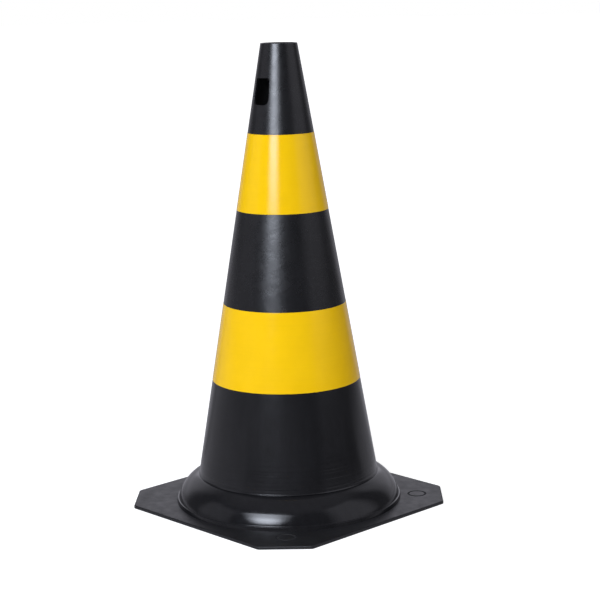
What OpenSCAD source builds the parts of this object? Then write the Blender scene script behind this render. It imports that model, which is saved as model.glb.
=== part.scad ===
// Traffic cone: a hollow tapered cone with two yellow sleeves, pushed over the spigot of a
// domed ring that stands on an octagonal base plate. A ballast ring lies inside the dome.
// All sizes are in millimetres. The floor is at z = 0 and the cone's axis is Z.

/* [Cone] */
// Height of the whole object, from the floor to the cut top
overall_h = 750; // [700:1:900]
// Outside diameter at the cut top
top_d = 58.6; // [54:0.2:70]
// Outside diameter of the cone's straight face, at the level of its lower rim
rim_d = 295; // [270:0.2:310]
// Thickness of the cone's wall, measured level
cone_wall = 4; // [3:0.5:6]
// Distance that the lip round the lower rim stands out of the straight face
lip_out = 1.2; // [0.8:0.1:1.6]
// Height over which the face runs out into the lip
lip_h = 1.8; // [1.2:0.1:4]
// Fillet between the face and the lip
lip_fillet = 0.9; // [0.5:0.1:2]
// Round on the outer edge of the lip
rim_round = 0.3; // [0.1:0.1:0.4]
// Round on the outer edge of the cut top
top_round = 0.8; // [0.3:0.1:1.5]
// Diameter of the round mouth in the top
mouth_d = 48; // [36:1:50]
// Length of the mouth's straight wall
mouth_h = 12; // [8:1:20]
// Height over which the wall thickens to the mouth
mouth_lead = 8; // [4:1:16]

/* [Tape slots] */
// Width of each slot at its upper end
slot_high_w = 28; // [20:0.5:32]
// Width of each slot at its lower end
slot_low_w = 33.5; // [22:0.5:38]
// Height of each slot
slot_h = 41.5; // [30:0.5:50]
// Distance from the cut top down to the slot's upper edge
slot_drop = 54; // [45:1:65]
// Corner radius at the slot's upper end
slot_round_high = 3.5; // [1:0.5:8]
// Corner radius at the slot's lower end
slot_round_low = 8; // [1:0.5:9.5]

/* [Bands] */
// Height of the upper band
upper_band_h = 123; // [60:1:140]
// Distance from the cut top down to the upper band's upper edge
upper_band_drop = 141; // [130:1:160]
// Height of the lower band
lower_band_h = 126; // [60:1:140]
// Distance from the cone's lower rim up to the lower band's lower edge
lower_band_rise = 158; // [100:0.5:180]
// Thickness of a band
band_t = 0.9; // [0.6:0.1:1.5]
// Depth of the shallow seat that a band lies in
band_seat = 0.7; // [0.4:0.1:1]
// Clearance round a band in its seat
band_gap = 0.1; // [0.05:0.05:0.2]

/* [Base plate] */
// Width of the plate across its flats
base_w = 418; // [400:1:480]
// Length that each cut corner takes off a side
corner_cut = 59; // [30:1:80]
// Radius on the plate's eight corners, seen from above
corner_round = 8; // [2:1:14]
// Thickness of the plate
plate_t = 5; // [4:0.5:8]
// Softening of the plate's upper edge
edge_round = 1.6; // [0.5:0.1:2.5]
// Clearance between the plate's hole and the ring's skirt
plate_gap = 0.3; // [0.1:0.1:1]
// Diameter of the plain moulded ring mark in a corner
mark_d = 31; // [16:1:40]
// Width of the mark's groove
mark_w = 3; // [1:0.2:4]
// Depth of the mark's groove
mark_depth = 0.6; // [0.2:0.1:1]
// Distance from the ring's foot out to the mark's centre
mark_out = 27; // [24:0.1:32]

/* [Base ring] */
// Distance from the cone's rim out to the foot of the ring's dome
dome_out = 34.8; // [30:0.1:42]
// Radius of the dome's section
dome_round = 56; // [40:0.5:66]
// Lean of the dome's face at its foot, in degrees from upright
dome_lean = 14; // [0:1:18]
// Distance from the cone's rim out to the dome's upper edge
crest_out = 0.6; // [0.5:0.1:4]
// Thickness of the ring's wall
ring_wall = 5; // [4:0.5:7]
// Thickness of the skirt between the ring's hollow and the cone's hollow
skirt_wall = 5; // [4:0.5:7]
// Width of the ledge round the dome's foot, at the ledge's top
ledge_w = 1.8; // [1.7:0.1:4]
// Height of the ledge above the plate
ledge_h = 6.2; // [3:0.1:9]
// Round on the ledge's edge
ledge_round = 0.6; // [0.2:0.1:0.7]
// Fillet between the ledge and the dome
ledge_fillet = 1.2; // [0.4:0.1:1.3]
// Lean of the ledge's wall, in degrees from upright
ledge_lean = 12; // [0:1:20]
// Height of the groove between the dome's upper edge and the cone's rim
groove_h = 0.4; // [0.3:0.1:10]
// Distance that the groove's wall is set back under the cone's rim
groove_in = 1.5; // [1.2:0.1:2.8]
// Fillet at the bottom of the groove
groove_fillet = 0.2; // [0.1:0.05:0.25]

/* [Spigot] */
// Height of the spigot above the cone's seat
spigot_h = 44; // [30:1:70]
// Thickness of the spigot's wall, measured level
spigot_wall = 4; // [3:0.5:6]
// Level clearance between the spigot and the cone
spigot_gap = 0.3; // [0.2:0.1:0.8]
// Round on the spigot's upper edge
spigot_round = 1.5; // [0.5:0.1:2]
// Number of keys that stop the cone from turning
key_count = 4; // [2:1:8]
// Width of a key
key_w = 14; // [8:1:24]
// Height of a key
key_h = 12; // [6:1:20]
// Distance that a key stands out of the spigot
key_d = 1.5; // [1:0.1:2]
// Clearance round a key in its notch
key_gap = 0.4; // [0.3:0.1:0.8]

/* [Ballast] */
// Clearance between the ballast ring and the hollow round it
ballast_gap = 0.3; // [0.2:0.1:1]

/* [Hidden] */
$fn = 96;
black = "#202226";
dark_grey = "#2a2b2d";
rubber_black = "#151515";
yellow = "#f2bd00";

// Extra length of a cut past the face that it opens
cut_extra = 1;
// Share of the plate's edge softening that its steep lower step takes
edge_share = 0.3;
// Straight pieces in a rounded corner, small and large
corner_steps = 6;
dome_steps = 24;

// Radii of the base, from the cone's rim out
rim_r = rim_d / 2;
neck_r = rim_r - groove_in;
crest_r = rim_r + crest_out;
foot_r = rim_r + dome_out;
ledge_r = foot_r + ledge_w;
ledge_foot_r = ledge_r + ledge_h * tan(ledge_lean);

// Middle of the dome's section, and the angle at which the dome ends
ledge_z = plate_t + ledge_h;
dome_middle = [foot_r - dome_round * cos(dome_lean), ledge_z - dome_round * sin(dome_lean)];
crest_angle = acos((crest_r - dome_middle.x) / dome_round);

// Heights of the base, from the dome's upper edge up
crest_z = dome_middle.y + dome_round * sin(crest_angle);
rim_z = crest_z + groove_h;
spigot_z = rim_z + spigot_h;
hollow_z = crest_z - ring_wall;

// Heights of the lip, the bands and the slots
lip_z = rim_z + lip_h;
lower_band_z = rim_z + lower_band_rise;
upper_band_z = overall_h - upper_band_drop - upper_band_h;
slot_high_z = overall_h - slot_drop;
slot_low_z = slot_high_z - slot_h;
mouth_z = overall_h - mouth_h;

// Radius of the cone's outer face at a height, and of the faces that follow its taper
function cone_r(z) = top_d / 2 + (rim_d - top_d) / 2 * (overall_h - z) / (overall_h - rim_z);
function cone_in_r(z) = cone_r(z) - cone_wall;
function spigot_r(z) = cone_in_r(z) - spigot_gap;
function stack_r(z) = spigot_r(z) - spigot_wall;
function skirt_r(z) = stack_r(z) + skirt_wall;
function seat_r(z) = cone_r(z) - band_seat;

function unit(v) = v / norm(v);
function turn(a, b) = sign(a.x * b.y - a.y * b.x);

// One corner of an outline, as an arc of the given radius that touches both of its sides
function corner_arc(before, at, after, radius, steps) =
    let (
        back = unit(before - at),
        ahead = unit(after - at),
        half = acos(back * ahead) / 2,
        middle = at + unit(back + ahead) * radius / sin(half),
        start = at + back * radius / tan(half) - middle,
        first = atan2(start.y, start.x),
        sweep = turn(-back, ahead) * (180 - 2 * half)
    )
    [for (i = [0 : steps]) middle + radius * [cos(first + sweep * i / steps), sin(first + sweep * i / steps)]];

// An outline from corners of the form [x, y, radius, steps], where a radius of 0 stays sharp
function rounded(corners) =
    let (count = len(corners), at = [for (c = corners) [c[0], c[1]]])
    [for (i = [0 : count - 1], p = corners[i][2] > 0
        ? corner_arc(at[(i + count - 1) % count], at[i], at[(i + 1) % count], corners[i][2], corners[i][3])
        : [at[i]]) p];

// Arc round the middle of the dome's section, from the foot to the given angle
function dome_arc(radius, last) =
    [for (i = [0 : dome_steps])
        let (angle = dome_lean + (last - dome_lean) * i / dome_steps)
        dome_middle + radius * [cos(angle), sin(angle)]];

// Section of the hollow under the dome, above the plate and drawn in by a gap on the other sides
function hollow_section(gap) =
    let (
        radius = dome_round - ring_wall - gap,
        high = hollow_z - gap,
        arc = dome_arc(radius, asin((high - dome_middle.y) / radius))
    )
    concat([[skirt_r(plate_t) + gap, plate_t], [arc[0].x, plate_t]], arc, [[skirt_r(high) + gap, high]]);

// Square outline with cut corners, drawn in by inset on every side
module octagon(inset) {
    half = base_w / 2;
    flat = half - corner_cut;
    shape = [for (turned = [0 : 90 : 270], p = [[half, -flat], [half, flat]])
        [p.x * cos(turned) - p.y * sin(turned), p.x * sin(turned) + p.y * cos(turned)]];
    scale((half - inset) / half)
        polygon(rounded([for (p = shape) [p.x, p.y, corner_round, corner_steps]]));
}

// Plain groove ring on the plate, standing for a moulder's mark
module corner_mark() {
    rotate_extrude()
        translate([mark_d / 2 - mark_w, plate_t - mark_depth])
            square([mark_w, mark_depth + cut_extra]);
}

module base_plate() {
    mark_at = (ledge_foot_r + mark_out) / sqrt(2);
    edge_step = edge_round * edge_share;
    color(dark_grey)
    difference() {
        hull() {
            linear_extrude(plate_t - edge_round) octagon(0);
            linear_extrude(plate_t - edge_step) octagon(edge_step);
            linear_extrude(plate_t) octagon(edge_round);
        }
        translate([0, 0, -cut_extra])
            cylinder(r = skirt_r(0) + plate_gap, h = plate_t + 2 * cut_extra);
        for (side = [-1, 1])
            translate([mark_at, side * mark_at, 0]) corner_mark();
    }
}

// Sector of the spigot's outer face, grown by a margin, from which keys and notches are made
module key_sector(margin, drop) {
    low = rim_z - drop;
    high = rim_z + key_h + margin;
    reach = key_d + margin;
    angle = (key_w + 2 * margin) / spigot_r(rim_z) * 180 / PI;
    for (i = [0 : key_count - 1])
        rotate([0, 0, (i + 0.5) * 360 / key_count - angle / 2])
            rotate_extrude(angle = angle)
                polygon([
                    [spigot_r(low) - cut_extra, low],
                    [spigot_r(low) + reach, low],
                    [spigot_r(high) + reach, high],
                    [spigot_r(high) - cut_extra, high]
                ]);
}

module base_ring() {
    hollow = hollow_section(0);
    dome = dome_arc(dome_round, crest_angle);
    color(black)
    union() {
        rotate_extrude()
            polygon(rounded(concat(
                [[stack_r(0), 0, 0], [skirt_r(0), 0, 0]],
                [for (i = [len(hollow) - 1 : -1 : 1]) [hollow[i].x, hollow[i].y, 0]],
                [[ledge_foot_r, plate_t, 0], [ledge_r, ledge_z, ledge_round, corner_steps]],
                [for (i = [0 : dome_steps]) [dome[i].x, dome[i].y, i == 0 ? ledge_fillet : 0, corner_steps]],
                [[neck_r, crest_z, groove_fillet, corner_steps], [neck_r, rim_z, 0]],
                [[spigot_r(rim_z), rim_z, 0], [spigot_r(spigot_z), spigot_z, spigot_round, corner_steps]],
                [[stack_r(spigot_z), spigot_z, 0]]
            )));
        key_sector(0, 0);
    }
}

module ballast_ring() {
    color(rubber_black)
    rotate_extrude() polygon(hollow_section(ballast_gap));
}

// Corners of the shallow seat for one band, from its lower edge to its upper edge
function band_seat_corners(low, h) =
    let (z0 = low - band_gap, z1 = low + h + band_gap)
    [[cone_r(z0), z0, 0], [seat_r(z0), z0, 0], [seat_r(z1), z1, 0], [cone_r(z1), z1, 0]];

// Both tape slots in one cut, from side to side along Y
module slot_cut() {
    high = slot_high_w / 2;
    low = slot_low_w / 2;
    rotate([90, 0, 0])
        linear_extrude(rim_d, center = true)
            polygon(rounded([
                [-low, slot_low_z, slot_round_low, corner_steps],
                [low, slot_low_z, slot_round_low, corner_steps],
                [high, slot_high_z, slot_round_high, corner_steps],
                [-high, slot_high_z, slot_round_high, corner_steps]
            ]));
}

module cone_body() {
    color(black)
    difference() {
        rotate_extrude()
            polygon(rounded(concat(
                [[cone_in_r(rim_z), rim_z, 0], [rim_r + lip_out, rim_z, rim_round, corner_steps]],
                [[cone_r(lip_z), lip_z, lip_fillet, corner_steps]],
                band_seat_corners(lower_band_z, lower_band_h),
                band_seat_corners(upper_band_z, upper_band_h),
                [
                    [top_d / 2, overall_h, top_round, corner_steps],
                    [mouth_d / 2, overall_h, 0],
                    [mouth_d / 2, mouth_z, 0],
                    [cone_in_r(mouth_z - mouth_lead), mouth_z - mouth_lead, 0]
                ]
            )));
        slot_cut();
        key_sector(key_gap, cut_extra);
    }
}

// Sleeve that lies in its seat and stands slightly proud of the cone
module band(low, h) {
    high = low + h;
    in_gap = band_gap - band_seat;
    out_gap = in_gap + band_t;
    color(yellow)
    rotate_extrude()
        polygon([
            [cone_r(low) + in_gap, low],
            [cone_r(low) + out_gap, low],
            [cone_r(high) + out_gap, high],
            [cone_r(high) + in_gap, high]
        ]);
}

module lower_band() {
    band(lower_band_z, lower_band_h);
}

module upper_band() {
    band(upper_band_z, upper_band_h);
}

base_plate();
base_ring();
ballast_ring();
cone_body();
lower_band();
upper_band();
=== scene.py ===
import math

import bpy
from mathutils import Matrix, Vector


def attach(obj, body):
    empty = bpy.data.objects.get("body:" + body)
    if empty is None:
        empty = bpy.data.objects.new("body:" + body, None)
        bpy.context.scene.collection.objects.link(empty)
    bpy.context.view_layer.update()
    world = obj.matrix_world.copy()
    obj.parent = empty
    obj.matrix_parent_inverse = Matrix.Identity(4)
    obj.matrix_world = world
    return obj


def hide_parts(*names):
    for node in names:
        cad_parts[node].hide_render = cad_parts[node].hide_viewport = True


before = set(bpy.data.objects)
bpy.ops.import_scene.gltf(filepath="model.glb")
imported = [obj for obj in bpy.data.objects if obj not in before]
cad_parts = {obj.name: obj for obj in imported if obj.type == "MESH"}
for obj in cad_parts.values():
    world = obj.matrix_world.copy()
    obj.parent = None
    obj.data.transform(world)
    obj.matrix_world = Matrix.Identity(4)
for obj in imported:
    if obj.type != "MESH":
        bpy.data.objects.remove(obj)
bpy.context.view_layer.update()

# Sizes in millimetres, as in the part's source
MM = 0.001
OVERALL_H = 750
TOP_R = 29.3
RIM_R = 147.5
CONE_WALL = 4
LIP_OUT = 1.2
LIP_H = 1.8
LIP_FILLET = 0.9
RIM_ROUND = 0.3
TOP_ROUND = 0.8
MOUTH_R = 24
MOUTH_Z = 738
MOUTH_LEAD = 8
SLOT_HIGH_HALF = 14
SLOT_LOW_HALF = 16.75
SLOT_HIGH_Z = 696
SLOT_LOW_Z = 654.5
SLOT_ROUND_HIGH = 3.5
SLOT_ROUND_LOW = 8
UPPER_BAND = (486, 609)
LOWER_BAND_RISE = 158
LOWER_BAND_H = 126
BAND_T = 0.9
BAND_SEAT = 0.7
BAND_GAP = 0.1
BASE_HALF = 209
CORNER_CUT = 59
CORNER_ROUND = 8
PLATE_T = 5
EDGE_ROUND = 1.6
PLATE_GAP = 0.3
MARK_R = 15.5
MARK_W = 3
MARK_DEPTH = 0.6
MARK_OUT = 27
DOME_OUT = 34.8
DOME_ROUND = 56
DOME_LEAN = math.radians(14)
CREST_OUT = 0.6
RING_WALL = 5
SKIRT_WALL = 5
LEDGE_W = 1.8
LEDGE_H = 6.2
LEDGE_ROUND = 0.6
LEDGE_FILLET = 1.2
LEDGE_LEAN = math.radians(12)
GROOVE_H = 0.4
GROOVE_IN = 1.5
GROOVE_FILLET = 0.2
SPIGOT_H = 44
SPIGOT_WALL = 4
SPIGOT_GAP = 0.3
SPIGOT_ROUND = 1.5
KEY_COUNT = 4
KEY_W = 14
KEY_H = 12
KEY_D = 1.5
KEY_GAP = 0.4

# Softened edges in millimetres, which the part's source leaves sharp
MOUTH_ROUND = 0.4
SLOT_EDGE = 0.9
KEY_EDGE = 0.6
BAND_ROUND = 0.25
SKIRT_ROUND = 0.5
SPIGOT_IN_ROUND = 0.8
LOW_ROUND = 0.5
HOLE_EDGE = 0.4
MARK_SOFT = 0.3
MARK_BEND = 0.09

# Sizes that follow from these
FOOT_R = RIM_R + DOME_OUT
LEDGE_R = FOOT_R + LEDGE_W
LEDGE_FOOT_R = LEDGE_R + LEDGE_H * math.tan(LEDGE_LEAN)
LEDGE_Z = PLATE_T + LEDGE_H
NECK_R = RIM_R - GROOVE_IN
DOME_X = FOOT_R - DOME_ROUND * math.cos(DOME_LEAN)
DOME_Z = LEDGE_Z - DOME_ROUND * math.sin(DOME_LEAN)
CREST_ANGLE = math.acos((RIM_R + CREST_OUT - DOME_X) / DOME_ROUND)
CREST_Z = DOME_Z + DOME_ROUND * math.sin(CREST_ANGLE)
RIM_Z = CREST_Z + GROOVE_H
LIP_Z = RIM_Z + LIP_H
SPIGOT_Z = RIM_Z + SPIGOT_H
HOLLOW_Z = CREST_Z - RING_WALL
LOWER_BAND = (RIM_Z + LOWER_BAND_RISE, RIM_Z + LOWER_BAND_RISE + LOWER_BAND_H)
MARK_IN_R = MARK_R - MARK_W
MARK_AT = (LEDGE_FOOT_R + MARK_OUT) / math.sqrt(2)

# Columns round the axis, rows along a section, steps along a round and tolerances
COLUMNS = 192
COLUMN_CLEAR = 0.6
ROW_STEP = 7
SUPPORT = 0.5
ARC_STEPS = 6
HOLLOW_STEPS = 24
DOME_STEPS = 40
SHARP_ANGLE = math.radians(35)
ON_FACE = 0.01
TINY = 1e-6


def cone_r(z):
    return TOP_R + (RIM_R - TOP_R) * (OVERALL_H - z) / (OVERALL_H - RIM_Z)


def cone_in_r(z):
    return cone_r(z) - CONE_WALL


def spigot_r(z):
    return cone_in_r(z) - SPIGOT_GAP


def stack_r(z):
    return spigot_r(z) - SPIGOT_WALL


def skirt_r(z):
    return stack_r(z) + SKIRT_WALL


def mix(a, b, t):
    return a + (b - a) * t


def clamped(value):
    return max(0, min(1, value))


def unit(x, y):
    length = math.hypot(x, y)
    return x / length, y / length


def distance(a, b):
    return math.hypot(b[0] - a[0], b[1] - a[1])


def between(a, b, t):
    """Point at a share of the way from a to b."""
    return mix(a[0], b[0], t), mix(a[1], b[1], t)


def nearest(points, spot):
    """Index of the point that lies nearest to a spot."""
    return min(range(len(points)), key=lambda k: distance(points[k], spot))


def corner_arc(before, at, after, radius, steps):
    """Arc of the given radius that touches both sides of a corner."""
    back = unit(before[0] - at[0], before[1] - at[1])
    ahead = unit(after[0] - at[0], after[1] - at[1])
    half = math.acos(max(-1, min(1, back[0] * ahead[0] + back[1] * ahead[1]))) / 2
    middle = unit(back[0] + ahead[0], back[1] + ahead[1])
    cx = at[0] + middle[0] * radius / math.sin(half)
    cy = at[1] + middle[1] * radius / math.sin(half)
    sx = at[0] + back[0] * radius / math.tan(half) - cx
    sy = at[1] + back[1] * radius / math.tan(half) - cy
    first = math.atan2(sy, sx)
    turn = math.copysign(1, back[1] * ahead[0] - back[0] * ahead[1])
    sweep = turn * (math.pi - 2 * half)
    angles = [first + sweep * i / steps for i in range(steps + 1)]
    return [(cx + radius * math.cos(a), cy + radius * math.sin(a)) for a in angles]


def rounded(corners, steps=ARC_STEPS):
    """Closed outline from corners (x, y, radius), where a radius of 0 stays sharp."""
    points = []
    for i, (x, y, radius) in enumerate(corners):
        if radius > 0:
            before = corners[i - 1]
            after = corners[(i + 1) % len(corners)]
            points += corner_arc(before, (x, y), after, radius, steps)
        else:
            points.append((x, y))
    return points


def refined(points):
    """The same closed outline with its long straight runs divided, close to their ends first."""
    result = []
    for a, b in zip(points, points[1:] + points[:1]):
        length = distance(a, b)
        result.append(a)
        if length > 4 * SUPPORT:
            count = max(1, round((length - 2 * SUPPORT) / ROW_STEP))
            end = SUPPORT / length
            result += [between(a, b, end + k / count * (1 - 2 * end)) for k in range(count + 1)]
    return result


def run_lengths(points):
    """Length of a closed outline up to each of its points, and its whole length."""
    runs = [0]
    for a, b in zip(points, points[1:] + points[:1]):
        runs.append(runs[-1] + distance(a, b))
    return runs


def length_shares(points):
    """Share of a closed outline's length at each of its points."""
    runs = run_lengths(points)
    return [r / runs[-1] for r in runs[:-1]]


def resampled(points, shares):
    """Points at the given shares of a closed outline's length."""
    closed = points + points[:1]
    runs = run_lengths(points)
    result = []
    k = 0
    for share in shares:
        at = share * runs[-1]
        while k < len(runs) - 2 and runs[k + 1] < at:
            k += 1
        t = (at - runs[k]) / max(TINY, runs[k + 1] - runs[k])
        result.append(between(closed[k], closed[k + 1], t))
    return result


def placed(name, data):
    """New object in the scene."""
    obj = bpy.data.objects.new(name, data)
    bpy.context.scene.collection.objects.link(obj)
    return obj


class Shell:
    """Vertices and faces of one piece, in millimetres."""

    def __init__(self):
        self.verts = []
        self.faces = []

    def loop(self, points):
        """New vertices, as a list of their numbers."""
        start = len(self.verts)
        self.verts += points
        return list(range(start, len(self.verts)))

    def join(self, last, loop):
        """Faces between two loops."""
        for k in range(len(last)):
            n = (k + 1) % len(last)
            self.faces.append((last[k], last[n], loop[n], loop[k]))

    def grow(self, last, points):
        """New loop, joined to the last one."""
        loop = self.loop(points)
        self.join(last, loop)
        return loop

    def fan(self, loop, centre):
        """Faces from a loop to a new vertex in its middle."""
        middle = self.loop([centre])[0]
        for k in range(len(loop)):
            self.faces.append((loop[k], loop[(k + 1) % len(loop)], middle))

    def piece(self, name, body, node, material):
        """Object of this shape that rides a body and stands for a CAD node."""
        mesh = bpy.data.meshes.new(name)
        mesh.from_pydata([(x * MM, y * MM, z * MM) for x, y, z in self.verts], [], self.faces)
        mesh.validate()
        mesh.shade_smooth()
        mesh.set_sharp_from_angle(angle=SHARP_ANGLE)
        mesh.materials.append(material)
        obj = placed(name, mesh)
        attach(obj, body)
        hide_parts(node)


def turned(angle, r, z):
    """Point at an angle round the axis, where 0 faces -Y and 90 degrees faces +X."""
    return (r * math.sin(angle), -r * math.cos(angle), z)


def column_angles(marks=()):
    """Angles of the columns, with extra ones at the given marks."""
    even = [2 * math.pi * i / COLUMNS for i in range(COLUMNS)]
    near = math.pi / COLUMNS * COLUMN_CLEAR
    kept = [a for a in even if all(abs(a - m) > near for m in marks)]
    return sorted(kept + list(marks))


def lathe(shell, profile, angles, radius=lambda angle, r, z: r):
    """Grid of a profile turned round the axis, where radius(angle, r, z) may change a radius."""
    return [shell.loop([turned(a, radius(a, r, z), z) for r, z in profile]) for a in angles]


def close_grid(shell, grid, left_out=()):
    """Faces between neighbouring columns of a closed grid."""
    rows = len(grid[0])
    for i in range(len(grid)):
        n = (i + 1) % len(grid)
        for j in range(rows):
            if (i, j) not in left_out:
                k = (j + 1) % rows
                shell.faces.append((grid[i][j], grid[n][j], grid[n][k], grid[i][k]))


def grid_frame(columns, rows):
    """Places (column, row) round a rectangle of a grid, from the middle of its first row."""
    middle = len(columns) // 2
    ring = [(i, rows[0]) for i in columns[middle:-1]]
    ring += [(columns[-1], j) for j in rows[:-1]]
    ring += [(i, rows[-1]) for i in columns[:0:-1]]
    ring += [(columns[0], j) for j in rows[:0:-1]]
    ring += [(i, rows[0]) for i in columns[:middle]]
    return ring


# Angle that the bevelled side of a key takes up
KEY_TURN = KEY_EDGE / spigot_r(RIM_Z)


def key_marks(half):
    """Column angles at the sides of the keys."""
    centres = [(i + 0.5) * 2 * math.pi / KEY_COUNT for i in range(KEY_COUNT)]
    return [c + s for c in centres for s in (-half - KEY_TURN, -half, half, half + KEY_TURN)]


def key_share(angle, half, z, top):
    """1 on a key, 0 off it, and between them on its bevelled sides and top."""
    pitch = 2 * math.pi / KEY_COUNT
    off = abs((angle % pitch) - pitch / 2)
    return clamped((half + KEY_TURN - off) / KEY_TURN) * clamped((top - z) / KEY_EDGE)


# Procedural materials: levels of reflection, spans of roughness and colours
CONE_GLOSS = 0.68
CONE_ROUGH = (0.24, 0.32)
RING_GLOSS = 0.52
RING_ROUGH = (0.11, 0.17)
SLEEVE_GLOSS = 0.48
SLEEVE_ROUGH = (0.09, 0.16)
SLEEVE_TINT = (0.78, 0.72, 0.9, 1)
PLATE_GLOSS = 0.6
PLATE_ROUGH = (0.41, 0.53)
CRUMB_GLOSS = 0.3
CRUMB_ROUGH = (0.75, 0.95)
MATT = 0.9
BLACK_DEEP = (0.0045, 0.0045, 0.0053, 1)
BLACK_CLEAR = (0.0075, 0.0075, 0.0088, 1)
SCUFF_GREY = (0.02, 0.02, 0.022, 1)
YELLOW_DEEP = (0.866, 0.513, 0.0, 1)
YELLOW_CLEAR = (0.918, 0.549, 0.001, 1)
YELLOW_LINE = (0.72, 0.42, 0.002, 1)
YELLOW_SPECK = (0.5, 0.3, 0.01, 1)
PLATE_DEEP = (0.006, 0.006, 0.007, 1)
PLATE_CLEAR = (0.01, 0.01, 0.0115, 1)
PLATE_DUST = (0.04, 0.04, 0.044, 1)
CRUMB_DEEP = (0.012, 0.012, 0.012, 1)
CRUMB_CLEAR = (0.035, 0.034, 0.033, 1)

# Plain spans, and the part of a noise's values that is spread over a whole span
RISING = (0, 1)
FALLING = (1, 0)
SPREAD = (0.3, 0.7)

# How noises are stretched, the spans of their values that count and the shares that these are given
FLOW_STRETCH = (90, 90, 6)
FLOW_SPAN = (0.1, 0.45)
SCUFF_STRETCH = (190, 190, 420)
SCUFF_SPAN = (0.7, 0.84)
SCUFF_SHARES = (0, 0.3)
RINGS_STRETCH = (1.5, 1.5, 300)
BRUSH_STRETCH = (6, 6, 700)
BRUSH_SPAN = (0.4, 0.8)
BRUSH_SHARES = (0, 0.12)
SPECK_SPAN = (0.76, 0.84)
SPECK_SHARES = (0, 0.12)
DUST_SPAN = (0.62, 0.8)
DUST_SHARES = (0, 0.25)
CRUMB_SPAN = (0, 0.7)

# Heights in metres over which the black plastic changes, and the shares that it changes from or to
ROUGH_RISE = (0.2, 0.4)
ROUGH_SHARES = (0.65, 1)
MOTTLE_RISE = (0.2, 0.36)
MOTTLE_SHARE = 0.15
LINES_FADE = (0.06, 0.11)
LINES_SHARE = 0.02

# Depth in the cone's wall where its inside begins and fading of a mark's two edges, in millimetres, and
# the shares of the plate's thickness between which its upper side begins
INSIDE_FROM = 2.2
INSIDE_TO = 3.4
MARK_FADE_OUT = 0.4
MARK_FADE_IN = 0.2
UPPER_FROM = 0.3
UPPER_TO = 0.5


def node(tree, kind, links=None, **values):
    """New node with its sockets set by name or number, where a link is an output socket."""
    made = tree.nodes.new(kind)
    for key, value in values.items():
        setattr(made, key, value)
    for key, value in (links or {}).items():
        socket = made.inputs[key]
        if isinstance(value, bpy.types.NodeSocket):
            tree.links.new(value, socket)
        else:
            socket.default_value = value
    return made


def maths(tree, operation, *values):
    return node(tree, "ShaderNodeMath", dict(enumerate(values)), operation=operation).outputs["Value"]


def vector_maths(tree, operation, *values, output="Value"):
    return node(tree, "ShaderNodeVectorMath", dict(enumerate(values)), operation=operation).outputs[output]


def times(tree, first, *others):
    """Product of all the values."""
    for other in others:
        first = maths(tree, "MULTIPLY", first, other)
    return first


def largest(tree, first, *others):
    for other in others:
        first = maths(tree, "MAXIMUM", first, other)
    return first


def ranged(tree, value, span, result, ease="LINEAR"):
    """Value mapped from a span to the span of the result, and held at its ends."""
    low, high = span
    to_low, to_high = result
    links = {"Value": value, "From Min": low, "From Max": high, "To Min": to_low, "To Max": to_high}
    return node(tree, "ShaderNodeMapRange", links, interpolation_type=ease).outputs["Result"]


def eased_range(tree, value, span, result):
    return ranged(tree, value, span, result, "SMOOTHSTEP")


def blended(tree, share, a, b):
    """Colour between a and b. The node's colour sockets go by number, because their names repeat."""
    return node(tree, "ShaderNodeMix", {0: share, 6: a, 7: b}, data_type="RGBA").outputs[2]


def stretched(tree, place, scale):
    return node(tree, "ShaderNodeMapping", {"Vector": place, "Scale": scale}).outputs["Vector"]


def noise(tree, place, scale=1, detail=3, rough=0.5):
    links = {"Vector": place, "Scale": scale, "Detail": detail, "Roughness": rough}
    return node(tree, "ShaderNodeTexNoise", links).outputs["Fac"]


def bumped(tree, height, strength, depth, before=None):
    """Normal bent by a height, on top of the bumps before it."""
    links = {"Height": height, "Strength": strength, "Distance": depth}
    if before is not None:
        links["Normal"] = before
    return node(tree, "ShaderNodeBump", links).outputs["Normal"]


def parts_of(tree, vector):
    return node(tree, "ShaderNodeSeparateXYZ", {"Vector": vector}).outputs


def start_material(name, gloss):
    """New material, with its level of reflection set for the whole surface."""
    material = bpy.data.materials.new(name)
    material.use_nodes = True
    tree = material.node_tree
    shader = tree.nodes["Principled BSDF"]
    shader.inputs["Specular IOR Level"].default_value = gloss
    return material, tree, shader


def object_place(tree):
    return node(tree, "ShaderNodeTexCoord").outputs["Object"]


def finish_material(tree, shader, colour, rough, normal):
    """Link what varies over a surface to its shader."""
    for socket, value in (("Base Color", colour), ("Roughness", rough), ("Normal", normal)):
        tree.links.new(value, shader.inputs[socket])


def inner_share(tree, place):
    """1 on the cone's inner wall and 0 on its outer wall."""
    flat = vector_maths(tree, "MULTIPLY", place, (1, 1, 0), output="Vector")
    out = vector_maths(tree, "LENGTH", flat)
    height = parts_of(tree, place)["Z"]
    wall = ranged(tree, height, (0, OVERALL_H * MM), (cone_r(0) * MM, TOP_R * MM))
    depth = maths(tree, "SUBTRACT", wall, out)
    return ranged(tree, depth, (INSIDE_FROM * MM, INSIDE_TO * MM), RISING)


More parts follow.
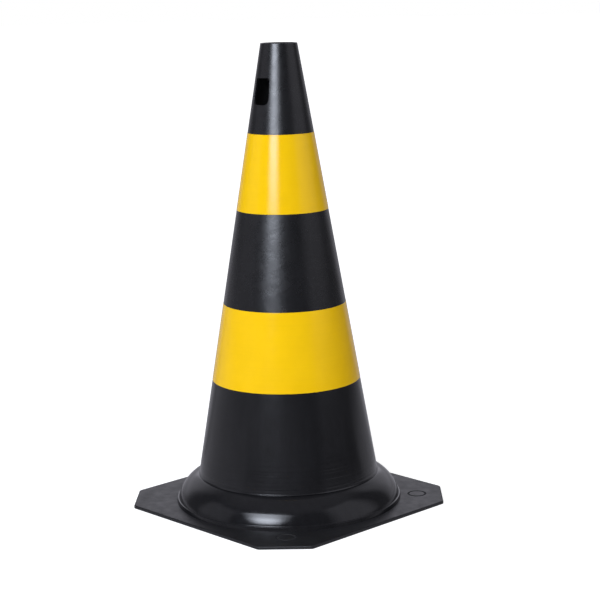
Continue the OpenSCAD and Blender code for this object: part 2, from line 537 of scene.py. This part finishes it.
def black_plastic(name, gloss, roughness, lines, mottle, hollow):
    """Flexible black plastic with flow marks, a mottled gloss and level moulding lines near its foot."""
    material, tree, shader = start_material(name, gloss)
    place = object_place(tree)
    height = parts_of(tree, place)["Z"]
    cloud = noise(tree, place, scale=16, detail=5, rough=0.6)
    flow = noise(tree, stretched(tree, place, FLOW_STRETCH))
    clear = ranged(tree, times(tree, cloud, flow), FLOW_SPAN, RISING)
    colour = blended(tree, clear, BLACK_DEEP, BLACK_CLEAR)
    scuff = noise(tree, stretched(tree, place, SCUFF_STRETCH), detail=5, rough=0.65)
    colour = blended(tree, ranged(tree, scuff, SCUFF_SPAN, SCUFF_SHARES), colour, SCUFF_GREY)
    rough = ranged(tree, noise(tree, place, scale=55, detail=5, rough=0.65), SPREAD, roughness)
    if hollow:
        rough = times(tree, rough, ranged(tree, height, ROUGH_RISE, ROUGH_SHARES))
        rough = ranged(tree, inner_share(tree, place), RISING, (rough, MATT))
    mottled = ranged(tree, height, MOTTLE_RISE, (MOTTLE_SHARE * mottle, mottle))
    normal = bumped(tree, noise(tree, place, scale=60), strength=mottled, depth=0.001)
    normal = bumped(tree, noise(tree, place, scale=330), strength=0.06, depth=0.0004, before=normal)
    rings = noise(tree, stretched(tree, place, RINGS_STRETCH), detail=2)
    lined = ranged(tree, height, LINES_FADE, (lines, LINES_SHARE * lines))
    normal = bumped(tree, rings, strength=lined, depth=0.0006, before=normal)
    finish_material(tree, shader, colour, rough, normal)
    return material


def yellow_sleeve(name):
    """Satin yellow sleeve with slight colour drift, level brush lines and an orange peel."""
    material, tree, shader = start_material(name, SLEEVE_GLOSS)
    shader.inputs["Specular Tint"].default_value = SLEEVE_TINT
    place = object_place(tree)
    drift = noise(tree, place, scale=18, detail=5, rough=0.6)
    colour = blended(tree, ranged(tree, drift, SPREAD, RISING), YELLOW_DEEP, YELLOW_CLEAR)
    lines = noise(tree, stretched(tree, place, BRUSH_STRETCH))
    colour = blended(tree, ranged(tree, lines, BRUSH_SPAN, BRUSH_SHARES), colour, YELLOW_LINE)
    speck = noise(tree, place, scale=420)
    colour = blended(tree, ranged(tree, speck, SPECK_SPAN, SPECK_SHARES), colour, YELLOW_SPECK)
    rough = ranged(tree, noise(tree, place, scale=55, detail=5, rough=0.65), SPREAD, SLEEVE_ROUGH)
    normal = bumped(tree, noise(tree, place, scale=60), strength=0.05, depth=0.001)
    normal = bumped(tree, noise(tree, place, scale=330), strength=0.12, depth=0.0004, before=normal)
    normal = bumped(tree, lines, strength=0.04, depth=0.0003, before=normal)
    finish_material(tree, shader, colour, rough, normal)
    return material


def mark_share(tree, place):
    """1 in the grooves of the two ring marks on the plate's upper face."""
    x, y, z = parts_of(tree, place)
    spot = node(tree, "ShaderNodeCombineXYZ", {"X": x, "Y": maths(tree, "ABSOLUTE", y)}).outputs["Vector"]
    out = vector_maths(tree, "DISTANCE", spot, (MARK_AT * MM, MARK_AT * MM, 0))
    inner_edge = ((MARK_IN_R - MARK_FADE_OUT) * MM, (MARK_IN_R + MARK_FADE_IN) * MM)
    outer_edge = ((MARK_R - MARK_FADE_IN) * MM, (MARK_R + MARK_FADE_OUT) * MM)
    upper = ranged(tree, z, (UPPER_FROM * PLATE_T * MM, UPPER_TO * PLATE_T * MM), RISING)
    return times(tree, ranged(tree, out, inner_edge, RISING), ranged(tree, out, outer_edge, FALLING), upper)


def plate_plastic(name):
    """Satin black plate with paler patches, dust, a moulded grain and matt grooves in its marks."""
    material, tree, shader = start_material(name, PLATE_GLOSS)
    place = object_place(tree)
    cloud = noise(tree, place, scale=22, detail=5, rough=0.6)
    colour = blended(tree, ranged(tree, cloud, SPREAD, RISING), PLATE_DEEP, PLATE_CLEAR)
    dust = noise(tree, place, scale=260, detail=5, rough=0.7)
    colour = blended(tree, ranged(tree, dust, DUST_SPAN, DUST_SHARES), colour, PLATE_DUST)
    rough = ranged(tree, noise(tree, place, scale=60, detail=5, rough=0.6), SPREAD, PLATE_ROUGH)
    rough = ranged(tree, mark_share(tree, place), RISING, (rough, MATT))
    normal = bumped(tree, noise(tree, place, scale=48, detail=2), strength=0.08, depth=0.002)
    grain = noise(tree, place, scale=900, rough=0.6)
    normal = bumped(tree, grain, strength=0.12, depth=0.0004, before=normal)
    finish_material(tree, shader, colour, rough, normal)
    return material


def rubber_crumb(name):
    """Matt recycled rubber pressed from crumbs of different greys."""
    material, tree, shader = start_material(name, CRUMB_GLOSS)
    place = object_place(tree)
    crumb = node(tree, "ShaderNodeTexVoronoi", {"Vector": place, "Scale": 420}).outputs["Distance"]
    colour = blended(tree, ranged(tree, crumb, CRUMB_SPAN, RISING), CRUMB_DEEP, CRUMB_CLEAR)
    rough = ranged(tree, noise(tree, place, scale=300), SPREAD, CRUMB_ROUGH)
    normal = bumped(tree, crumb, strength=0.5, depth=0.001)
    finish_material(tree, shader, colour, rough, normal)
    return material


cone_black = black_plastic("cone_plastic", CONE_GLOSS, CONE_ROUGH, lines=0.7, mottle=0.22, hollow=True)
ring_black = black_plastic("ring_plastic", RING_GLOSS, RING_ROUGH, lines=0.05, mottle=0.1, hollow=False)
band_yellow = yellow_sleeve("band_sleeve")
plate_black = plate_plastic("plate_plastic")
ballast_black = rubber_crumb("ballast_crumb")


# The cone's shell, with its tape slots and the notches for the keys
SLOT_MARGIN = 8
SLOT_COLUMNS = 16
SLOT_CORNER_STEPS = 12
SLOT_EDGE_STEPS = 5
SLOT_RINGS = (0.3, 0.55, 0.75, 0.88, 0.96, 1)
SLOT_FROM = SLOT_LOW_Z - SLOT_MARGIN
SLOT_TO = SLOT_HIGH_Z + SLOT_MARGIN


def band_seat(low, high):
    """Corners of the shallow seat for one band."""
    z0 = low - BAND_GAP
    z1 = high + BAND_GAP
    return [
        (cone_r(z0), z0, 0),
        (cone_r(z0) - BAND_SEAT, z0, 0),
        (cone_r(z1) - BAND_SEAT, z1, 0),
        (cone_r(z1), z1, 0),
    ]


def slot_outline(grow):
    """Slot's outline in x and z, grown on all sides, from the middle of its lower edge."""
    low = SLOT_LOW_Z - grow
    high = SLOT_HIGH_Z + grow
    spread = (SLOT_LOW_HALF - SLOT_HIGH_HALF) / (SLOT_HIGH_Z - SLOT_LOW_Z)
    side = grow * math.hypot(1, spread)
    low_half = SLOT_LOW_HALF + spread * grow + side
    high_half = SLOT_HIGH_HALF - spread * grow + side
    corners = [
        (0, low, 0),
        (low_half, low, SLOT_ROUND_LOW + grow),
        (high_half, high, SLOT_ROUND_HIGH + grow),
        (-high_half, high, SLOT_ROUND_HIGH + grow),
        (-low_half, low, SLOT_ROUND_LOW + grow),
    ]
    return rounded(corners, SLOT_CORNER_STEPS)


def cut_slot(shell, turn, grid, outer_ring, inner_ring, angles, profile):
    """Faces from the outer wall in through one slot to the inner wall."""

    def flat(ring):
        """Angles from the slot's middle and heights of a ring."""
        result = []
        for i, j in ring:
            off = (angles[i] - turn + math.pi) % (2 * math.pi) - math.pi
            result.append((off, profile[j][1]))
        return result

    def put(x, y, z):
        """Point of the slot that faces -Y, turned to this slot's side."""
        return (x * math.cos(turn) - y * math.sin(turn), x * math.sin(turn) + y * math.cos(turn), z)

    def wall_y(x, z, wall_r):
        return -math.sqrt(wall_r(z) ** 2 - x * x)

    outer = flat(outer_ring)
    inner = flat(inner_ring)
    shares = length_shares([(a * cone_r(z), z) for a, z in outer])
    edge = resampled(slot_outline(SLOT_EDGE), shares)

    def eased(ring, wall_r, t):
        """Loop on a wall at a share of the way from a ring to the slot's edge."""
        points = []
        for (a, z), (x, ez) in zip(ring, edge):
            angle = mix(a, math.asin(x / wall_r(ez)), t)
            high = mix(z, ez, t)
            points.append(turned(angle + turn, wall_r(high), high))
        return points

    last = [grid[i][j] for i, j in outer_ring]
    for t in SLOT_RINGS:
        last = shell.grow(last, eased(outer, cone_r, t))
    steps = range(1, SLOT_EDGE_STEPS + 1)
    for wall_r, inward, order in ((cone_r, 1, steps), (cone_in_r, -1, steps[::-1])):
        for k in order:
            theta = math.pi / 2 * k / SLOT_EDGE_STEPS
            grow = SLOT_EDGE * (1 - math.sin(theta))
            deep = SLOT_EDGE * (1 - math.cos(theta)) * inward
            contour = resampled(slot_outline(grow), shares)
            last = shell.grow(last, [put(x, wall_y(x, z, wall_r) + deep, z) for x, z in contour])
    for t in SLOT_RINGS[::-1]:
        last = shell.grow(last, eased(inner, cone_in_r, t))
    shell.join(last, [grid[i][j] for i, j in inner_ring])


def make_cone():
    shell = Shell()
    notch_z = RIM_Z + KEY_H + KEY_GAP
    corners = [
        (cone_in_r(RIM_Z), RIM_Z, 0),
        (RIM_R + LIP_OUT, RIM_Z, RIM_ROUND),
        (cone_r(LIP_Z), LIP_Z, LIP_FILLET),
        *band_seat(*LOWER_BAND),
        *band_seat(*UPPER_BAND),
        (cone_r(SLOT_FROM), SLOT_FROM, 0),
        (cone_r(SLOT_TO), SLOT_TO, 0),
        (TOP_R, OVERALL_H, TOP_ROUND),
        (MOUTH_R, OVERALL_H, MOUTH_ROUND),
        (MOUTH_R, MOUTH_Z, 0),
    ]
    inner_heights = (MOUTH_Z - MOUTH_LEAD, SLOT_TO, SLOT_FROM, notch_z, notch_z - KEY_EDGE)
    corners += [(cone_in_r(z), z, 0) for z in inner_heights]
    profile = refined(rounded(corners))
    half = (KEY_W / 2 + KEY_GAP) / spigot_r(RIM_Z)
    angles = column_angles(key_marks(half))

    def notched(angle, r, z):
        if abs(r - cone_in_r(z)) > ON_FACE:
            return r
        return mix(r, spigot_r(z) + KEY_D + KEY_GAP, key_share(angle, half, z, notch_z))

    grid = lathe(shell, profile, angles, notched)
    out_low = nearest(profile, (cone_r(SLOT_FROM), SLOT_FROM))
    out_high = nearest(profile, (cone_r(SLOT_TO), SLOT_TO))
    in_high = nearest(profile, (cone_in_r(SLOT_TO), SLOT_TO))
    in_low = nearest(profile, (cone_in_r(SLOT_FROM), SLOT_FROM))
    left_out = set()
    for turn in (0, math.pi):
        middle = min(range(len(angles)), key=lambda i: abs(angles[i] - turn))
        columns = [(middle + k) % len(angles) for k in range(-SLOT_COLUMNS, SLOT_COLUMNS + 1)]
        left_out |= {(i, j) for i in columns[:-1] for j in range(out_low, out_high)}
        left_out |= {(i, j) for i in columns[:-1] for j in range(in_high, in_low)}
        outer_ring = grid_frame(columns, range(out_low, out_high + 1))
        inner_ring = grid_frame(columns, range(in_low, in_high - 1, -1))
        cut_slot(shell, turn, grid, outer_ring, inner_ring, angles, profile)
    close_grid(shell, grid, left_out)
    shell.piece("cone_shell", "cone", "cone_body", cone_black)


def make_band(name, node_name, low, high):
    shell = Shell()
    inset = BAND_GAP - BAND_SEAT
    outset = inset + BAND_T
    corners = [
        (cone_r(low) + inset, low, 0),
        (cone_r(low) + outset, low, BAND_ROUND),
        (cone_r(high) + outset, high, BAND_ROUND),
        (cone_r(high) + inset, high, 0),
    ]
    close_grid(shell, lathe(shell, refined(rounded(corners)), column_angles()))
    shell.piece(name, "cone", node_name, band_yellow)


def dome_arc(radius, last, steps):
    """Corners along an arc round the middle of the dome's section, from the foot to the given angle."""
    angles = [DOME_LEAN + (last - DOME_LEAN) * i / steps for i in range(steps + 1)]
    return [(DOME_X + radius * math.cos(a), DOME_Z + radius * math.sin(a), 0) for a in angles]


def make_ring():
    shell = Shell()
    hollow_round = DOME_ROUND - RING_WALL
    hollow = dome_arc(hollow_round, math.asin((HOLLOW_Z - DOME_Z) / hollow_round), HOLLOW_STEPS)
    key_top = RIM_Z + KEY_H
    corners = [
        (stack_r(0), 0, SKIRT_ROUND),
        (skirt_r(0), 0, 0),
        (skirt_r(HOLLOW_Z), HOLLOW_Z, 0),
        *hollow[::-1],
        (hollow[0][0], PLATE_T, 0),
        (LEDGE_FOOT_R, PLATE_T, 0),
        (LEDGE_R, LEDGE_Z, LEDGE_ROUND),
        (FOOT_R, LEDGE_Z, LEDGE_FILLET),
        *dome_arc(DOME_ROUND, CREST_ANGLE, DOME_STEPS)[1:],
        (NECK_R, CREST_Z, GROOVE_FILLET),
        (NECK_R, RIM_Z, 0),
        *[(spigot_r(z), z, 0) for z in (RIM_Z, key_top - KEY_EDGE, key_top)],
        (spigot_r(SPIGOT_Z), SPIGOT_Z, SPIGOT_ROUND),
        (stack_r(SPIGOT_Z), SPIGOT_Z, SPIGOT_IN_ROUND),
    ]
    profile = refined(rounded(corners))
    half = KEY_W / 2 / spigot_r(RIM_Z) - KEY_TURN

    def keyed(angle, r, z):
        if z < RIM_Z or abs(r - spigot_r(z)) > ON_FACE:
            return r
        return r + KEY_D * key_share(angle, half, z, key_top)

    close_grid(shell, lathe(shell, profile, column_angles(key_marks(half)), keyed))
    shell.piece("domed_ring", "base", "base_ring", ring_black)


# The octagonal plate, with its softened edge and the two plain moulded rings. Shares run from its hole
# to its edge, and the marks lie between two distances from the axis.
CORNER_STEPS = 8
CHORD = 4
SIDE_STEP = 14
CUT_STEP = 5.2
LOW_SHARES = (0.004, 0.3, 0.7)
LOW_TURNS = (0, 0.52, 1.05, math.pi / 2)
EDGE_STEPS = 6
OUTER_SHARES = (0.985, 0.93)
INNER_SHARES = (0.25, 0.1, 0.004)
MARK_COLUMNS = 11
MARK_ROWS = 14
MARK_FROM = 190
MARK_TO = 235
MARK_MARGIN = 1.6
MARK_MIDDLE_R = 5

# Loops of a ring mark from its outside to its middle, as (radius, depth)
MARK_LOOPS = (
    (MARK_R + MARK_MARGIN, 0),
    (MARK_R + MARK_SOFT, 0),
    (MARK_R + MARK_BEND, MARK_BEND),
    (MARK_R, MARK_SOFT),
    (MARK_R - MARK_SOFT, MARK_DEPTH),
    (MARK_IN_R + MARK_SOFT, MARK_DEPTH),
    (MARK_IN_R, MARK_SOFT),
    (MARK_IN_R - MARK_BEND, MARK_BEND),
    (MARK_IN_R - MARK_SOFT, 0),
    (MARK_IN_R - MARK_MARGIN, 0),
    (MARK_MIDDLE_R, 0),
)


def plate_outline():
    """Outline from the left end of the side that faces -Y, with short steps on the cut corners."""
    flat = BASE_HALF - CORNER_CUT
    corners = []
    for quarter in range(4):
        turn = math.pi / 2 * quarter
        for x, y in ((-flat, -BASE_HALF), (flat, -BASE_HALF)):
            px = x * math.cos(turn) - y * math.sin(turn)
            py = x * math.sin(turn) + y * math.cos(turn)
            corners.append((px, py, CORNER_ROUND))
    points = rounded(corners, CORNER_STEPS)
    result = []
    for a, b in zip(points, points[1:] + points[:1]):
        length = distance(a, b)
        count = 1
        if length > CHORD:
            on_side = min(abs(a[0] - b[0]), abs(a[1] - b[1])) < TINY
            count = 2 * round(length / (SIDE_STEP if on_side else CUT_STEP))
        result += [between(a, b, k / count) for k in range(count)]
    return result


def cut_mark(shell, side, last):
    """Faces of one ring mark, from the loop round it to its middle."""
    cy = side * MARK_AT
    ways = [math.atan2(shell.verts[v][1] - cy, shell.verts[v][0] - MARK_AT) for v in last]
    for radius, deep in MARK_LOOPS:
        circle = [(MARK_AT + radius * math.cos(w), cy + radius * math.sin(w), PLATE_T - deep) for w in ways]
        last = shell.grow(last, circle)
    shell.fan(last, (MARK_AT, cy, PLATE_T))


def make_plate():
    shell = Shell()
    outline = plate_outline()
    ways = [unit(*p) for p in outline]
    hole = skirt_r(0) + PLATE_GAP
    corner = math.hypot(BASE_HALF - CORNER_CUT / 2, BASE_HALF - CORNER_CUT / 2)
    marks = [mix(MARK_TO, MARK_FROM, k / MARK_ROWS) for k in range(MARK_ROWS + 1)]
    mark_shares = [(m - hole) / (corner - hole) for m in marks]

    # Rows as (share from the hole to the edge, inset from the edge, height)
    rows = [(share, 0, 0) for share in LOW_SHARES]
    rows += [(1, LOW_ROUND * (1 - math.sin(t)), LOW_ROUND * (1 - math.cos(t))) for t in LOW_TURNS]
    for k in range(EDGE_STEPS + 1):
        t = math.pi / 2 * k / EDGE_STEPS
        rows.append((1, EDGE_ROUND * (1 - math.cos(t)), PLATE_T - EDGE_ROUND * (1 - math.sin(t))))
    first = len(rows) + len(OUTER_SHARES)
    rows += [(share, 0, PLATE_T) for share in (*OUTER_SHARES, *mark_shares, *INNER_SHARES)]
    rows += [(0, 0, PLATE_T - HOLE_EDGE), (0, 0, HOLE_EDGE)]

    grid = []
    for (ux, uy), (ox, oy) in zip(ways, outline):
        column = []
        for share, inset, z in rows:
            scale = (BASE_HALF - inset) / BASE_HALF
            column.append((mix(hole * ux, ox * scale, share), mix(hole * uy, oy * scale, share), z))
        grid.append(shell.loop(column))
    mark_rows = range(first, first + len(marks))
    left_out = set()
    for side in (-1, 1):
        middle = nearest(ways, (math.sqrt(0.5), side * math.sqrt(0.5)))
        columns = [(middle + k) % len(outline) for k in range(-MARK_COLUMNS, MARK_COLUMNS + 1)]
        left_out |= {(i, j) for i in columns[:-1] for j in mark_rows[:-1]}
        cut_mark(shell, side, [grid[i][j] for i, j in grid_frame(columns, mark_rows)])
    close_grid(shell, grid, left_out)
    shell.piece("octagon_plate", "base", "base_plate", plate_black)


make_cone()
make_band("upper_sleeve", "upper_band", *UPPER_BAND)
make_band("lower_sleeve", "lower_band", *LOWER_BAND)
make_ring()
make_plate()

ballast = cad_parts["ballast_ring"]
ballast.data.materials.clear()
ballast.data.materials.append(ballast_black)

# Camera, as fitted to the photograph
CAMERA_AZIMUTH = math.radians(46.698)
CAMERA_OUT = 2.62817
CAMERA_UP = 0.8363
CAMERA_YAW = math.radians(0.546)
CAMERA_PITCH = math.radians(10.789)
CAMERA_ROLL = math.radians(-1.208)
CAMERA_LENS = 98.68
CAMERA_SENSOR = 36
CAMERA_REACH = 200


def compass(azimuth, out, up):
    """Point at an azimuth round the object, where 0 is in front along -Y and 90 degrees is along +X."""
    return Vector((out * math.sin(azimuth), -out * math.cos(azimuth), up))


UP = Vector((0, 0, 1))
BACK = -compass(CAMERA_AZIMUTH, 1, 0)
RIGHT = BACK.cross(UP)


def stand(obj, place, right, up, back):
    """Put an object in its place, with its own axes along the given ones."""
    obj.matrix_world = Matrix.Translation(place) @ Matrix((right, up, back)).transposed().to_4x4()


def make_camera():
    data = bpy.data.cameras.new("camera")
    data.sensor_width = CAMERA_SENSOR
    data.lens = CAMERA_LENS
    data.clip_end = CAMERA_REACH
    camera = placed("camera", data)
    level = Matrix.Rotation(-CAMERA_YAW, 3, "Z") @ BACK
    right = level.cross(UP)
    ahead = level * math.cos(CAMERA_PITCH) - UP * math.sin(CAMERA_PITCH)
    up = right.cross(ahead)
    rolled_right = right * math.cos(CAMERA_ROLL) + up * math.sin(CAMERA_ROLL)
    rolled_up = up * math.cos(CAMERA_ROLL) - right * math.sin(CAMERA_ROLL)
    stand(camera, compass(CAMERA_AZIMUTH, CAMERA_OUT, CAMERA_UP), rolled_right, rolled_up, -ahead)
    bpy.context.scene.camera = camera


make_camera()

# Soft box to the left of the camera. Each end is in degrees to the left, metres out and metres up, and the
# spans are shares of its width and of its height.
BOX_LOW = (23.4, 5.5, 1.23)
BOX_HIGH = (28.5, 1.93, 2.01)
BOX_WIDTH = 3.0
BOX_RADIANCE = 11.2
BOX_COLOUR = (0.88, 0.94, 1.07)
BOX_SIDES = (0.06, 0.5)
BOX_NARROWING = (0.5, 0.85)
BOX_NARROWED = (1, 1.08)
BOX_LOW_END = (0.04, 0.44)
BOX_BULGE = (0.46, 0.66)
BOX_BULGED = (1, 1.3)
BOX_HIGH_END = (0.62, 0.88)
BOX_HIGH_DIMMED = (1, 0.5)


def left_of_camera(degrees, out, up):
    return compass(CAMERA_AZIMUTH - math.radians(degrees), out, up)


def make_soft_box():
    """Panel that leans over the object, with soft sides, dim ends and a brighter part above its middle."""
    low = left_of_camera(*BOX_LOW)
    high = left_of_camera(*BOX_HIGH)
    data = bpy.data.lights.new("soft_box", "AREA")
    data.shape = "RECTANGLE"
    data.size = BOX_WIDTH
    data.size_y = (high - low).length
    data.energy = BOX_RADIANCE * math.pi * data.size * data.size_y
    data.color = BOX_COLOUR
    data.use_nodes = True
    tree = data.node_tree
    spot = parts_of(tree, node(tree, "ShaderNodeNewGeometry").outputs["Parametric"])
    off = maths(tree, "ABSOLUTE", maths(tree, "SUBTRACT", spot["X"], 0.5))
    off = times(tree, off, eased_range(tree, spot["Y"], BOX_NARROWING, BOX_NARROWED))
    sides = eased_range(tree, off, BOX_SIDES, FALLING)
    low_end = eased_range(tree, spot["Y"], BOX_LOW_END, RISING)
    bulge = eased_range(tree, spot["Y"], BOX_BULGE, BOX_BULGED)
    high_end = eased_range(tree, spot["Y"], BOX_HIGH_END, BOX_HIGH_DIMMED)
    strength = times(tree, sides, low_end, bulge, high_end)
    tree.links.new(strength, tree.nodes["Emission"].inputs["Strength"])
    lamp = placed("soft_box", data)
    rise = (high - low).normalized()
    away = UP.cross(low).normalized().cross(rise).normalized()
    stand(lamp, (low + high) / 2, rise.cross(away), rise, away)
    lamp.visible_camera = False


make_soft_box()

# The pale floor: sizes in metres, its own look, and radii over which its glow to the camera changes
FLOOR_R = 40
FLOOR_SIDES = 64
FLOOR_DROP = 0.0004
FLOOR_GREY = (0.6, 0.6, 0.6, 1)
FLOOR_GLOSS = 0.1
FLOOR_ROUGH = 0.9
FLOOR_CLEAR = (0.16, 0.2)
FLOOR_GLOW = (0.5, 2.5)
FLOOR_GLOW_LEVELS = (0.76, 0.92)

# What reflections see of the floor and of the room round it. Bearings are in degrees from the camera's side
# of the object and grow to the right, radii are in metres, and heights are sines of the angle above level.
# A third number is the softness of both ends.
WHITE = (1, 1, 1, 1)
ROOM_COLOUR = (0.98, 0.97, 1.08, 1)
BEHIND = (124, 146)
# The floor levels below are a glow seen only by reflections: a painted reflection of the lit floor and
# room.
FLOOR_LEVEL = 0.08
FLOOR_NEAR = (0.35, 0.7)
FLOOR_NEAR_LEVELS = (0.38, 0)
FLOOR_BACK_LEVEL = 0.4
FLOOR_LEFT = (-135, -55, 10)
FLOOR_LEFT_LEVEL = 0.33
FLOOR_RIGHT = (100, 140, 8)
FLOOR_RIGHT_FADE = (1.2, 3)
FLOOR_RIGHT_LEVELS = (0.3, 0.1)
ROOM_LEVEL = 0.1
BACKDROP_FADE = (0.38, 0.82)
BACKDROP_LEVELS = (0.54, 0.08)
BACKDROP_FOOT = (0, 0.14)
BACKDROP_FOOT_SHARES = (0.6, 1)
WINGS = (128, 154, 10)
WINGS_FADE = (0.6, 0.9)
WINGS_LEVELS = (0.42, 0.1)
WINGS_TURN = (-90, 90)
WINGS_SHARES = (0.55, 1)
FAR_BACK = (154, 166)
FAR_HEIGHTS = (0.12, 0.6, 0.08)
LEFT_WALL = (-108, -64, 7)
LEFT_WALL_FADE = (0.58, 0.78)
LEFT_WALL_LEVELS = (0.37, 0)
LEFT_WALL_FOOT = (0, 0.2)
LEFT_WALL_FOOT_SHARES = (0.45, 1)
RIGHT_WALL = (46, 102, 14)
RIGHT_WALL_FADE = (0.76, 0.86)
RIGHT_WALL_LEVELS = (0.54, 0)
RIGHT_WALL_FOOT = (-0.02, 0.16)
CEILING = (0.5, 0.95)
CEILING_LEVELS = (0, 0.26)
FRONT_FROM = (-80, -60)
FRONT_TO = (-20, 75)
FRONT_LEVELS = (0.28, 0)
FRONT_FADE = (0.07, 0.14)

# Even light from the room on matt surfaces, by how far to the right it comes from
FILL_COLOUR = (0.97, 0.98, 1, 1)
FILL_TO_RIGHT = (-0.1, 0.8)
FILL_RIGHT_LEVELS = (0.28, 0.7)
FILL_TO_LEFT = (-0.9, -0.3)
FILL_LEFT_LEVELS = (0.86, 0)


def along(tree, way, axis):
    return vector_maths(tree, "DOT_PRODUCT", way, axis)


def bearing(tree, way):
    """Degrees from the camera's side of the object, growing to the right."""
    angle = maths(tree, "ARCTAN2", along(tree, way, RIGHT), along(tree, way, -BACK))
    return times(tree, angle, math.degrees(1))


def sector(tree, value, first, last, soft):
    """1 between two values, with soft ends."""
    rising = eased_range(tree, value, (first - soft, first + soft), RISING)
    return times(tree, rising, eased_range(tree, value, (last - soft, last + soft), FALLING))


def make_floor():
    """Pale floor, white to the camera, but without its glow, and so dark, under the base. To reflections it
    is a glow at set levels, a painted reflection of a dim room at the sides.
    """
    mesh = bpy.data.meshes.new("floor")
    turns = [2 * math.pi * i / FLOOR_SIDES for i in range(FLOOR_SIDES)]
    verts = [(FLOOR_R * math.cos(t), FLOOR_R * math.sin(t), -FLOOR_DROP) for t in turns]
    mesh.from_pydata(verts, [], [tuple(range(FLOOR_SIDES))])
    material, tree, shader = start_material("pale_floor", FLOOR_GLOSS)
    shader.inputs["Base Color"].default_value = FLOOR_GREY
    shader.inputs["Roughness"].default_value = FLOOR_ROUGH
    shader.inputs["Emission Color"].default_value = WHITE
    path = node(tree, "ShaderNodeLightPath").outputs
    place = node(tree, "ShaderNodeNewGeometry").outputs["Position"]
    out = vector_maths(tree, "LENGTH", place)
    seen = largest(tree, path["Is Camera Ray"], path["Is Transmission Ray"])
    clear = ranged(tree, out, FLOOR_CLEAR, RISING)
    glow = times(tree, seen, clear, ranged(tree, out, FLOOR_GLOW, FLOOR_GLOW_LEVELS))
    tree.links.new(glow, shader.inputs["Emission Strength"])
    angle = bearing(tree, place)
    # For reflections the floor is swapped for a glow at set levels by radius and bearing, a painted
    # reflection of the lit floor and the room round it; near the object the glow is left out under the
    # base.
    near = times(tree, clear, eased_range(tree, out, FLOOR_NEAR, FLOOR_NEAR_LEVELS))
    back = eased_range(tree, maths(tree, "ABSOLUTE", angle), BEHIND, (0, FLOOR_BACK_LEVEL))
    left = times(tree, sector(tree, angle, *FLOOR_LEFT), FLOOR_LEFT_LEVEL)
    right = eased_range(tree, out, FLOOR_RIGHT_FADE, FLOOR_RIGHT_LEVELS)
    right = times(tree, sector(tree, angle, *FLOOR_RIGHT), right)
    level = largest(tree, near, back, left, right, FLOOR_LEVEL)
    painted_floor_reflection = node(tree, "ShaderNodeEmission", {"Color": ROOM_COLOUR, "Strength": level}).outputs[0]
    links = {0: path["Is Glossy Ray"], 1: shader.outputs[0], 2: painted_floor_reflection}
    both = node(tree, "ShaderNodeMixShader", links).outputs[0]
    tree.links.new(both, tree.nodes["Material Output"].inputs["Surface"])
    mesh.materials.append(material)
    floor = placed("floor", mesh)


def make_world():
    """White for the camera. Reflections see a pale backdrop, grey side walls and a dim room."""
    world = bpy.data.worlds.new("studio")
    bpy.context.scene.world = world
    world.use_nodes = True
    tree = world.node_tree
    tree.nodes.clear()
    path = node(tree, "ShaderNodeLightPath").outputs
    way = node(tree, "ShaderNodeTexCoord").outputs["Generated"]
    up = parts_of(tree, way)["Z"]
    side = along(tree, way, RIGHT)
    angle = bearing(tree, way)
    away = maths(tree, "ABSOLUTE", angle)

    def by_height(span, levels):
        return eased_range(tree, up, span, levels)

    def background(colour, strength):
        return node(tree, "ShaderNodeBackground", {"Color": colour, "Strength": strength}).outputs[0]

    def either(share, first, second):
        return node(tree, "ShaderNodeMixShader", {0: share, 1: first, 2: second}).outputs[0]

    backdrop = times(
        tree,
        eased_range(tree, away, BEHIND, RISING),
        by_height(BACKDROP_FADE, BACKDROP_LEVELS),
        by_height(BACKDROP_FOOT, BACKDROP_FOOT_SHARES),
    )
    wings = times(
        tree,
        sector(tree, away, *WINGS),
        by_height(WINGS_FADE, WINGS_LEVELS),
        eased_range(tree, angle, WINGS_TURN, WINGS_SHARES),
    )
    far = times(tree, eased_range(tree, away, FAR_BACK, RISING), sector(tree, up, *FAR_HEIGHTS))
    left_wall = times(
        tree,
        sector(tree, angle, *LEFT_WALL),
        by_height(LEFT_WALL_FADE, LEFT_WALL_LEVELS),
        by_height(LEFT_WALL_FOOT, LEFT_WALL_FOOT_SHARES),
    )
    right_wall = times(
        tree,
        sector(tree, angle, *RIGHT_WALL),
        by_height(RIGHT_WALL_FOOT, RISING),
        by_height(RIGHT_WALL_FADE, RIGHT_WALL_LEVELS),
    )
    ceiling = by_height(CEILING, CEILING_LEVELS)
    front = times(
        tree,
        eased_range(tree, angle, FRONT_FROM, RISING),
        eased_range(tree, angle, FRONT_TO, FRONT_LEVELS),
        by_height(FRONT_FADE, FALLING),
    )
    level = largest(tree, backdrop, wings, far, left_wall, right_wall, ceiling, front, ROOM_LEVEL)
    light = ranged(tree, side, FILL_TO_RIGHT, FILL_RIGHT_LEVELS)
    light = largest(tree, light, ranged(tree, side, FILL_TO_LEFT, FILL_LEFT_LEVELS))
    lit = either(path["Is Glossy Ray"], background(FILL_COLOUR, light), background(ROOM_COLOUR, level))
    seen = largest(tree, path["Is Camera Ray"], path["Is Transmission Ray"])
    node(tree, "ShaderNodeOutputWorld", {"Surface": either(seen, lit, background(WHITE, 1))})


make_floor()
make_world()
bpy.context.scene.view_settings.view_transform = "Standard"
